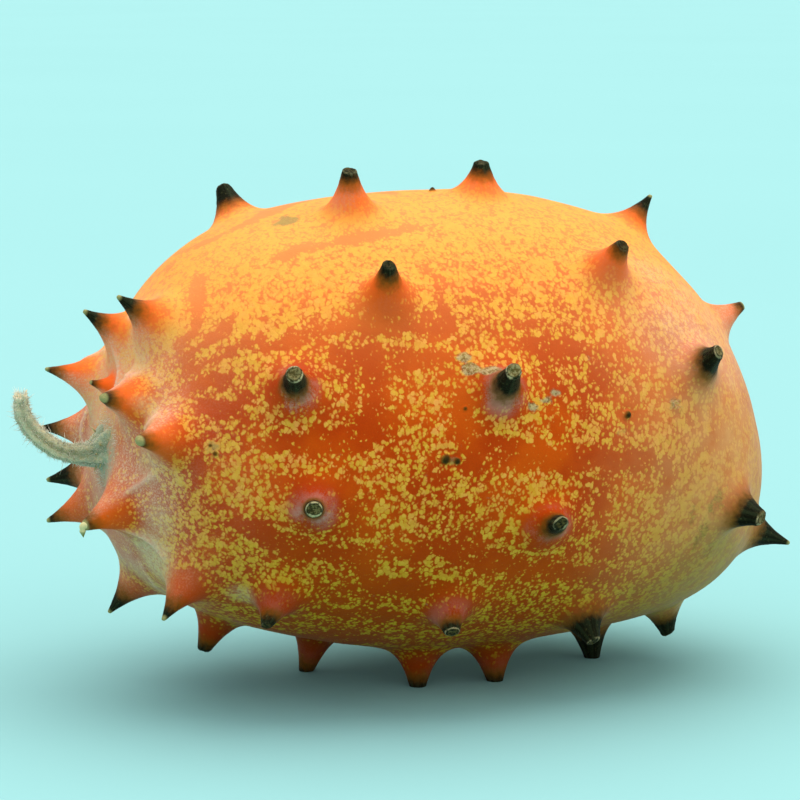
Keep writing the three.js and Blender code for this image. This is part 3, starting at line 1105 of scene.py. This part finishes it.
# The pale fuzz round the feet of the horns: fine dots, drawn out away from the horn.
def haloShare(look):
    reach = look.mark("reach")
    streaks = look.noise(1.0, 3.0, 0.65, spokeVector(look, 7.0, 0.5))
    grain = 0.6 * look.noise(0.3, 2.0, 0.7) + 0.4 * streaks
    cloud = look.step(grain + 1.1 * look.noise(5, 1.0), 0.94, 1.26)
    ring = look.step(reach, 1.2, 2.0) * (1 - look.step(reach, 2.0, 4.8))
    # Fainter on the lower side, partly as painted shade.
    strength = (0.86 * look.mark("scar") + 0.02) * (1.1 - 0.5 * look.mark("oliveAndShade"))
    return ring * cloud * strength


# Painted shade: a deeper, darker red above a scarred horn, away from the top, that tones down the light
# falling on that flank from above.
def addUpperFlareShade(look, skin):
    above = look.step(look.mark("spokeSide"), -0.5, 0.6) * (1 - look.mark("top"))
    nearby = 1 - look.step(look.mark("reach"), 2.4, 6.4)
    return look.mix(0.62 * look.mark("scar") * above * nearby, skin, "upperFlareShade")


# The woolly ring where the stalk grows out of the rind.
def addCollar(look, skin):
    woolly = look.step(look.noise(0.7, 3.0, 0.7), 0.3, 0.62)
    return look.mix(look.mark("collar") * (0.6 * woolly + 0.25), skin, "collar")


# The pale crests of the folds of the stem end, partly bloom and partly a painted highlight; stains, cork
# and dead buds.
def addBlemishes(look, skin):
    skin = look.mix(0.42 * look.mark("fold"), skin, "fold")
    patch = 1.5 * look.noise(1.4, 3.0, 0.7) - 0.75
    stained = look.step(look.mark("stain") + patch, 0.2, 0.95)
    # Stains turn darker on the lower side, partly as painted shade.
    skin = look.mix(0.7 * stained, skin, look.mix(look.mark("oliveAndShade"), "stain", "darkShadedStain"))
    corky = look.step(look.mark("cork") + patch, 0.22, 0.85)
    grain = look.step(look.noise(0.5, 3.0, 0.75), 0.4, 0.58)
    skin = look.mix(0.8 * corky, skin, look.mix(grain, "corkDark", "cork"))
    spot = look.mark("bud") + 0.5 * patch
    skin = look.mix(0.85 * look.step(spot, 0.14, 0.6), skin, "brown")
    skin = look.mix(0.9 * look.step(spot, 0.4, 0.95), skin, "budHeart")
    return skin, look.larger(corky, stained)


# The dark part of a horn: fibres run down it, with paler flecks.
def darkTone(look):
    fibre = look.noise(1.0, 3.0, 0.6, spokeVector(look, 3.2, 0.25))
    tone = look.mix(look.step(fibre, 0.4, 0.66), "dark", "tealDark")
    fleck = look.step(look.noise(0.55, 3.0, 0.7), 0.56, 0.76)
    return look.mix(0.5 * fleck, tone, "fleck")


# The scar on a blunt tip: a mottled heart and a thin, pale, broken rim.
def addScar(look, skin, ragged):
    isBlunt, scar = look.mark("kind"), look.mark("scar")
    uneven = look.noise(0.5, 3.0, 0.65)
    cap = look.mark("capPlace") + 0.3 * uneven - 0.15
    across = cap + 0.9 * look.noise(2.2, 1.0) - 0.45
    heart = (1 - look.step(across, 0.66, 0.9)) * isBlunt * (0.7 * scar + 0.2)
    dark = look.mix(look.step(uneven, 0.4, 0.62), "dark", "scarHeart")
    grey = look.mix(look.step(uneven, 0.42, 0.56), "scarHeart", "paleHeart")
    skin = look.mix(heart, skin, look.mix(look.mark("heart"), dark, grey))
    rim = look.step(across, 0.8, 0.95) * (1 - look.step(cap, 0.97, 1.1))
    return look.mix(rim * isBlunt * scar * look.step(ragged, 0.32, 0.6), skin, "scarRim")


def addHornTips(look, skin):
    share = look.mark("share")
    ragged = look.noise(1.0, 2.0, 0.6)
    edge = share + 0.22 * ragged - 0.11 - look.mark("darkFrom")
    skin = look.mix(0.85 * look.step(edge, -0.3, 0.03), skin, "brown")
    darkness = look.step(edge, -0.08, 0.18)
    skin = look.mix(darkness, skin, darkTone(look))
    skin = addScar(look, skin, ragged)
    isPointed = 1 - look.mark("kind")
    skin = look.mix(0.6 * look.step(share, 0.9, 0.98) * isPointed, skin, "paleTip")
    return skin, darkness


def makeRindFinish():
    look = Finish("rind", rindColours)
    specks, shade = speckleMask(look, speckleCover(look))
    skin = groundColours(look, specks, shade)
    skin = addPaleSkin(look, addFlares(look, skin))
    bloomAndHighlight, halo = bloomAndHighlightShare(look), haloShare(look)
    # Whitish bloom, with a painted highlight on the blossom end's shoulder.
    skin = look.mix(0.85 * bloomAndHighlight, skin, "bloomAndHighlight")
    skin = look.mix(0.8 * halo, skin, "halo")
    # Painted shade above the scarred horns, then the woolly collar.
    skin = addCollar(look, addUpperFlareShade(look, skin))
    skin, rough = addBlemishes(look, skin)
    skin, darkness = addHornTips(look, skin)

    gloss = look.blend(specks, 0.42, 0.5)
    gloss = look.blend(look.larger(bloomAndHighlight, halo), gloss, 0.7)
    gloss = look.blend(rough, gloss, 0.8)
    gloss = look.blend(darkness, gloss, 0.55)
    pores = 0.5 * look.noise(0.34, 2.0, 0.6)
    grit = look.larger(darkness, rough) * look.noise(0.4, 3.0, 0.7)
    height = 1.4 * look.noise(3.2) + pores + 0.2 * specks + 2.2 * grit
    look.dress({
        "Base Color": skin,
        "Roughness": gloss,
        "Specular IOR Level": 0.04,
        "Sheen Weight": 0.03,
        "Sheen Roughness": 0.4,
        "Sheen Tint": "sheen",
        "Subsurface Weight": 0.05,
        "Subsurface Radius": (1.0, 0.45, 0.15),
        "Subsurface Scale": 0.0015,
        "Normal": look.bump(height, 0.00012, 0.8),
    })
    return look.material


fruit.data.materials.append(makeRindFinish())
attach(fruit, "root")
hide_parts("fruit")
print("rind finished")


# A smooth line through the points, with its directions and two side ways.
def smoothLine(knots, count):
    knots = np.array(knots, float)
    padded = np.vstack([2 * knots[0] - knots[1], knots, 2 * knots[-1] - knots[-2]])
    fine = []
    for i in range(1, len(padded) - 2):
        before, start, end, after = padded[i - 1 : i + 3]
        share = np.linspace(0, 1, 40, endpoint=i == len(padded) - 3)[:, None]
        fine.append(
            0.5 * (2 * start + (end - before) * share
                   + (2 * before - 5 * start + 4 * end - after) * share**2
                   + (3 * start - before - 3 * end + after) * share**3)
        )
    fine = np.vstack(fine)
    gone = np.concatenate([[0], np.cumsum(np.linalg.norm(np.diff(fine, axis=0), axis=1))])
    even = np.linspace(0, gone[-1], count)
    line = np.stack([np.interp(even, gone, fine[:, k]) for k in range(3)], -1)
    ahead = unit(np.gradient(line, axis=0))
    side = unit(np.cross(ahead, (0.0, 1.0, 0.0)))
    return line, ahead, side, np.cross(ahead, side), gone[-1]


rootPlace = rindPoints(stalk["rootPolar"], stalk["rootAround"])
rootWay = rindFrames(stalk["rootPolar"], stalk["rootAround"])[0]
stalkKnots = [rootPlace - stalk["sunk"] * rootWay]
stalkKnots += [rootPlace + np.array(step) for step in stalk["line"]]
stalkLine, stalkAhead, stalkSide, stalkOver, stalkLength = smoothLine(stalkKnots, stalk["rings"])


def stalkRadius(share, turn):
    gone = np.maximum(share * stalkLength - stalk["sunk"], 0)
    foot = (stalk["rootRadius"] - stalk["radius"]) * np.exp(-gone / stalk["footReach"])
    end = (stalk["radius"] - stalk["endRadius"]) * smooth(0.6, 1, share)
    swell, place, length = stalk["knot"]
    knot = swell * np.exp(-(((share - place) / length) ** 2))
    rib = stalk["rib"] + stalk["footRib"] * np.exp(-gone / stalk["footReach"])
    ribs = rib * np.cos(stalk["ribs"] * turn + stalk["twist"] * share + 0.8 * np.sin(2 * turn))
    strands = sum(
        depth * np.cos(count * turn + twist * share) for depth, count, twist in stalk["strands"]
    )
    return (stalk["radius"] + foot - end + knot) * (1 + ribs + strands)


# The way out of the stalk at one of its rings.
def stalkWay(turn, ring):
    return math.cos(turn) * stalkSide[ring] + math.sin(turn) * stalkOver[ring]


# Quads between rings that all have the same count of points.
def tubeFaces(rings, sides, start=0):
    faces = []
    for ring in range(rings - 1):
        for k in range(sides):
            a, b = (start + ring * sides + step % sides for step in (k, k + 1))
            faces.append((a, b, b + sides, a + sides))
    return faces


def makeStalk():
    rings, sides = stalk["rings"], stalk["sides"]
    turns = np.arange(sides) * 2 * np.pi / sides
    share, turn = np.meshgrid(np.linspace(0, 1, rings), turns, indexing="ij")
    ways = np.cos(turn)[..., None] * stalkSide[:, None] + np.sin(turn)[..., None] * stalkOver[:, None]
    places = stalkLine[:, None] + stalkRadius(share, turn)[..., None] * ways
    lumps = roughness(places.reshape(-1, 3), 1.1, 2).reshape(rings, sides)
    grit = roughness(places.reshape(-1, 3), 0.4, 6).reshape(rings, sides)
    places += (stalk["lumps"] * lumps + stalk["grit"] * grit)[..., None] * ways
    torn = roughness(places[-1], 0.55, 8)
    reachBack = smooth(stalk["raggedFrom"], 1, share)[..., None] * stalk["ragged"]
    places += reachBack * (torn[None, :, None] - 0.3) * stalkAhead[:, None]
    inner = [
        stalkLine[-1] + width * (places[-1] - stalkLine[-1]) - depth * stalkAhead[-1]
        for width, depth in stalk["hollow"]
    ]
    places = np.concatenate([places, np.array(inner)])
    faces = tubeFaces(len(places), sides)
    flat = places.reshape(-1, 3)
    ends = np.array([stalkLine[0], stalkLine[-1] - stalk["hollowEnd"] * stalkAhead[-1]])
    last = len(flat) - sides
    for k in range(sides):
        after = (k + 1) % sides
        faces += [(after, k, len(flat)), (last + k, last + after, len(flat) + 1)]
    hollow = np.full(len(inner) * sides, 1.0)
    ribs = np.cos(stalk["ribs"] * turn + stalk["twist"] * share).reshape(-1)
    marks = {
        "along": np.concatenate([share.reshape(-1), hollow, [0, 1]]),
        "rib": np.concatenate([ribs, -hollow, [0, -1]]),
    }
    return makeMesh("horned_melon_stalk", np.vstack([flat, ends]) + body["centre"], faces, marks)


# One hair: a thin three-sided spike that bends a little.
def addSpike(places, faces, foot, way, bend, length, radius):
    side = unit(np.cross(way, (0.31, 0.52, 0.79)))
    over = np.cross(way, side)
    start = len(places)
    for stage in (0, 0.45):
        middle = foot + way * length * stage + bend * stage**2
        for turn in (0, 2 * math.pi / 3, 4 * math.pi / 3):
            out = math.cos(turn) * side + math.sin(turn) * over
            places.append(middle + radius * (1 - 0.6 * stage) * out)
    places.append(foot + way * length + bend)
    faces += tubeFaces(2, 3, start)
    tip = start + 6
    faces += [(start + 3 + k, start + 3 + (k + 1) % 3, tip) for k in range(3)]
    faces.append((start + 2, start + 1, start))


hairs = {
    "seed": 12,
    "radius": 0.052,
    "short": 2400,
    "shortLength": (0.3, 0.85),
    "shortLean": (-0.7, 0.9),  # back to the root, on to the end
    "shortBend": 0.3,
    "long": 60,
    "longLength": (1.0, 2.1),
    "longLean": (-0.4, 0.8),
    "longBend": 0.35,
    "longRadius": 0.0676,
    "shreds": 26,  # of skin round the broken end
    "shredLength": (0.5, 1.4),
    "shredRadius": 0.07,
    "skirt": 520,  # hairs on the rind round the foot
    "skirtReach": (0.9, 2.0),  # of the root's radius
    "skirtExtra": 0.4,
}


def randomWay(draw, reach):
    return np.array([draw.uniform(-reach, reach) for _ in range(3)])


# A foot on the stalk's surface, and the ways out of it and along the stalk.
def hairFoot(draw, first, last):
    share = draw.uniform(first, last)
    turn = draw.uniform(0, 2 * math.pi)
    ring = int(share * (stalk["rings"] - 1))
    way = stalkWay(turn, ring)
    return stalkLine[ring] + way * (stalkRadius(share, turn) - 0.1), way, stalkAhead[ring]


def addShortHair(draw, places, faces):
    foot, way, ahead = hairFoot(draw, 0.1, 0.99)
    lean = unit(way + ahead * draw.uniform(*hairs["shortLean"]) + randomWay(draw, 0.3))
    length = draw.uniform(*hairs["shortLength"])
    bend = randomWay(draw, hairs["shortBend"]) * length
    addSpike(places, faces, foot, lean, bend, length, hairs["radius"])


def addLongHair(draw, places, faces):
    foot, way, ahead = hairFoot(draw, 0.25, 0.99)
    lean = unit(way + ahead * draw.uniform(*hairs["longLean"]))
    length = draw.uniform(*hairs["longLength"])
    bend = randomWay(draw, hairs["longBend"]) * length
    addSpike(places, faces, foot, lean, bend, length, hairs["longRadius"])


def addShred(draw, places, faces):
    way = stalkWay(draw.uniform(0, 2 * math.pi), -1)
    foot = stalkLine[-1] + 0.8 * stalk["endRadius"] * way - 0.4 * stalkAhead[-1]
    length = draw.uniform(*hairs["shredLength"])
    lean = unit(stalkAhead[-1] + 0.4 * way)
    addSpike(places, faces, foot, lean, randomWay(draw, 0.4), length, hairs["shredRadius"])


def addSkirtHair(draw, places, faces):
    way = stalkWay(draw.uniform(0, 2 * math.pi), 0)
    reach = draw.uniform(*hairs["skirtReach"]) * stalk["rootRadius"]
    sunk = reach**2 / (2 * body["radius"]) + 0.25
    lean = unit(rootWay + randomWay(draw, 0.8))
    length = hairs["skirtExtra"] + draw.uniform(*hairs["shortLength"])
    foot = rootPlace + reach * way - sunk * rootWay
    addSpike(places, faces, foot, lean, randomWay(draw, 0.2), length, hairs["radius"])


def makeHairs():
    draw = random.Random(hairs["seed"])
    places, faces = [], []
    makers = {"short": addShortHair, "long": addLongHair, "shreds": addShred, "skirt": addSkirtHair}
    for kind, addHair in makers.items():
        for _ in range(hairs[kind]):
            addHair(draw, places, faces)
    return makeMesh("stalk_hairs", np.array(places) + body["centre"], faces)


# Prickles on the stalk's foot, dark at the point.
prickles = {
    "seed": 13,
    "count": 9,
    "ring": 24,  # of the stalk's rings
    "firstTurn": 0.9,
    "apart": 0.7,
    "length": (0.8, 1.5),
    "radius": 0.2,
}


def makePrickles():
    draw = random.Random(prickles["seed"])
    places, faces, tips = [], [], []
    for k in range(prickles["count"]):
        turn = prickles["firstTurn"] + k * prickles["apart"] + draw.uniform(-0.2, 0.2)
        ring = prickles["ring"] + draw.randint(-8, 8)
        foot, ahead = stalkLine[ring], stalkAhead[ring]
        way = stalkWay(turn, ring)
        length = draw.uniform(*prickles["length"])
        start = len(places)
        foot = foot + (stalkRadius(ring / (stalk["rings"] - 1), turn) - prickles["radius"]) * way
        addSpike(places, faces, foot, unit(way + 0.5 * ahead), 0.15 * ahead, length, prickles["radius"])
        tips += [0] * (len(places) - start - 1) + [1]
    return makeMesh("stalk_prickles", np.array(places) + body["centre"], faces, {"tip": tips})


# The scrap of dry skin that hangs off the tip of the horn below the stalk.
hangingTip = {
    "horn": stemEndHorns[4],
    "line": (
        (0.45, 0, 0.1), (-0.1, -0.05, 0), (-0.25, -0.05, -0.5), (-0.2, 0, -1.1), (-0.1, 0.05, -1.9),
    ),
    "rings": 22,
    "sides": 16,
    "radius": 0.62,
    "waist": 0.25,  # of the radius
    "waistAt": 0.45,
    "thinning": 0.75,
    "thinFrom": 0.55,
}


def makeHangingTip():
    rings, sides = hangingTip["rings"], hangingTip["sides"]
    i = horns.index(hangingTip["horn"])
    tip = hornFeet[i] + hornWay(i) * (hangingTip["horn"][2] - 0.2)
    knots = [tip + np.array(step) for step in hangingTip["line"]]
    line, _, side, over, _ = smoothLine(knots, rings)
    share = np.linspace(0, 1, rings)
    waist = 1 - hangingTip["waist"] * np.exp(-(((share - hangingTip["waistAt"]) / 0.1) ** 2))
    past = np.clip((share - hangingTip["thinFrom"]) / (1 - hangingTip["thinFrom"]), 0, 1)
    width = hangingTip["radius"] * waist * np.sqrt(np.clip(1 - share**3, 0.0004, 1))
    width *= 1 - hangingTip["thinning"] * past
    turn = (np.arange(sides) * 2 * np.pi / sides)[None, :, None]
    ways = np.cos(turn) * side[:, None] + np.sin(turn) * over[:, None]
    places = (line[:, None] + width[:, None, None] * ways).reshape(-1, 3) + body["centre"]
    ends = [tuple(reversed(range(sides))), tuple(range((rings - 1) * sides, rings * sides))]
    marks = {"along": np.repeat(share, sides)}
    return makeMesh("hanging_horn_tip", places, ends + tubeFaces(rings, sides), marks)


stalkColours = {
    "ridge": (220, 212, 166),
    "furrow": (138, 142, 92),
    "teal": (126, 152, 128),
    "beige": (196, 190, 156),
    "torn": (226, 216, 180),
    "hair": (246, 242, 226),
    "prickle": (188, 180, 122),
    "prickleTip": (84, 66, 40),
    "hanging": (206, 202, 144),
    "hangingEnd": (122, 128, 66),
}


def makeStalkFinish():
    look = Finish("stalk", stalkColours)
    along = look.mark("along")
    mottle = look.noise(0.9, 4.0, 0.65)
    fine = look.noise(0.22, 2.0, 0.6)
    ridge = 1.6 * mottle + 0.35 * look.mark("rib")
    tone = look.mix(look.step(ridge, 0.45, 1.15), "furrow", "ridge")
    tone = look.mix(0.65 * look.step(along, 0.35, 0.95), tone, "beige")
    foot = 1 - look.step(along, 0.16, 0.6)
    tone = look.mix(0.8 * foot * look.step(mottle, 0.3, 0.55), tone, "teal")
    tone = look.mix(0.45 * look.step(fine, 0.52, 0.7), tone, "torn")
    tone = look.mix(look.step(along, 0.97, 1.0), tone, "torn")
    look.dress({
        "Base Color": tone,
        "Roughness": look.blend(mottle, 0.72, 0.92),
        "Sheen Weight": 0.3,
        "Sheen Roughness": 0.5,
        "Normal": look.bump(fine + mottle, 0.00025, 0.9),
    })
    return look.material


def makeHairFinish():
    look = Finish("stalkHair", stalkColours)
    look.dress({"Base Color": look.mix(look.noise(1.4), "beige", "hair"), "Roughness": 0.6})
    return look.material


def makeTwoToneFinish(name, mark, low, high, first, second):
    look = Finish(name, stalkColours)
    where = look.step(look.mark(mark) + 0.3 * look.noise(0.5) - 0.15, low, high)
    grain = look.bump(look.noise(0.3, 3.0), 0.0001)
    look.dress({"Base Color": look.mix(where, first, second), "Roughness": 0.65, "Normal": grain})
    return look.material


stalkPiece = makeStalk()
stalkPiece.data.materials.append(makeStalkFinish())
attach(stalkPiece, "root")
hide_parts("stalk")
smallPieces = (
    (makeHairs(), makeHairFinish(), "stalk"),
    (makePrickles(), makeTwoToneFinish("prickle", "tip", 0.3, 0.9, "prickle", "prickleTip"), "stalk"),
    (makeHangingTip(), makeTwoToneFinish("dryTip", "along", 0.4, 0.8, "hanging", "hangingEnd"), "rind"),
)
for piece, material, slotName in smallPieces:
    piece.data.materials.append(material)
    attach(piece, "root")
print("stalk:", len(stalkPiece.data.polygons), "faces, hairs:", len(smallPieces[0][0].data.polygons))


studio = {
    "floorRadius": 14.0,
    "floorTone": (138, 192, 193),
    "floorDrift": (141, 195, 196),
    "skyTone": (240, 244, 250),
    "skyStrength": 0.46,
    # degrees round from +X where the light comes from, height, spread, power, tint
    "suns": (
        (70, 76, 72, 2.75, (255, 250, 242)),
        (-28, 40, 60, 0.95, (255, 248, 240)),
        (185, 38, 60, 0.65, (250, 250, 255)),
        (-85, 44, 90, 0.9, (255, 250, 246)),
    ),
}


def layFloor():
    bpy.ops.mesh.primitive_circle_add(vertices=96, radius=studio["floorRadius"], fill_type="NGON")
    floor = bpy.context.active_object
    floor.name = "floor"
    look = Finish("floor", studio)
    tone = look.mix(look.noise(400), "floorTone", "floorDrift")
    look.dress({"Base Color": tone, "Roughness": 0.9, "Specular IOR Level": 0.1})
    floor.data.materials.append(look.material)


def hangLights():
    world = bpy.data.worlds.new("studio")
    bpy.context.scene.world = world
    world.use_nodes = True
    sky = world.node_tree.nodes["Background"]
    sky.inputs["Color"].default_value = (*tint(*studio["skyTone"]), 1)
    sky.inputs["Strength"].default_value = studio["skyStrength"]
    for k, (turn, height, spread, power, colour) in enumerate(studio["suns"]):
        lamp = bpy.data.lights.new(f"soft{k}", "SUN")
        lamp.energy, lamp.angle, lamp.color = power, math.radians(spread), tint(*colour)
        holder = bpy.data.objects.new(f"soft{k}", lamp)
        turn, lift = math.radians(turn), math.radians(height)
        flat = math.cos(lift)
        way = Vector((math.cos(turn) * flat, math.sin(turn) * flat, math.sin(lift)))
        holder.rotation_euler = way.to_track_quat("Z", "Y").to_euler()
        bpy.context.scene.collection.objects.link(holder)


layFloor()
hangLights()
print("studio set")


# The camera looks from 20 degrees to the left of the fruit's front and 9 degrees above it.
view = {
    "azimuth": 20,
    "elevation": 9,
    "distance": 500,  # mm from the body's centre
    "lens": 132.75,
    "aimRight": -0.01064,  # how far the body's centre is off the middle of the view
    "aimUp": 0.0061,
}


def setCamera():
    turn, lift = math.radians(view["azimuth"]), math.radians(view["elevation"])
    ahead = Vector((math.sin(turn) * math.cos(lift), math.cos(turn) * math.cos(lift), -math.sin(lift)))
    right = ahead.cross(Vector((0, 0, 1))).normalized()
    up = right.cross(ahead)
    camera = bpy.data.objects.new("camera", bpy.data.cameras.new("camera"))
    camera.data.lens = view["lens"]
    camera.data.clip_start = 0.01
    camera.data.clip_end = 60
    camera.location = (Vector(body["centre"]) - ahead * view["distance"]) * mm
    aim = ahead + right * view["aimRight"] + up * view["aimUp"]
    camera.rotation_euler = aim.to_track_quat("-Z", "Y").to_euler()
    bpy.context.scene.collection.objects.link(camera)
    bpy.context.scene.camera = camera


setCamera()
bpy.context.scene.view_settings.view_transform = "Standard"
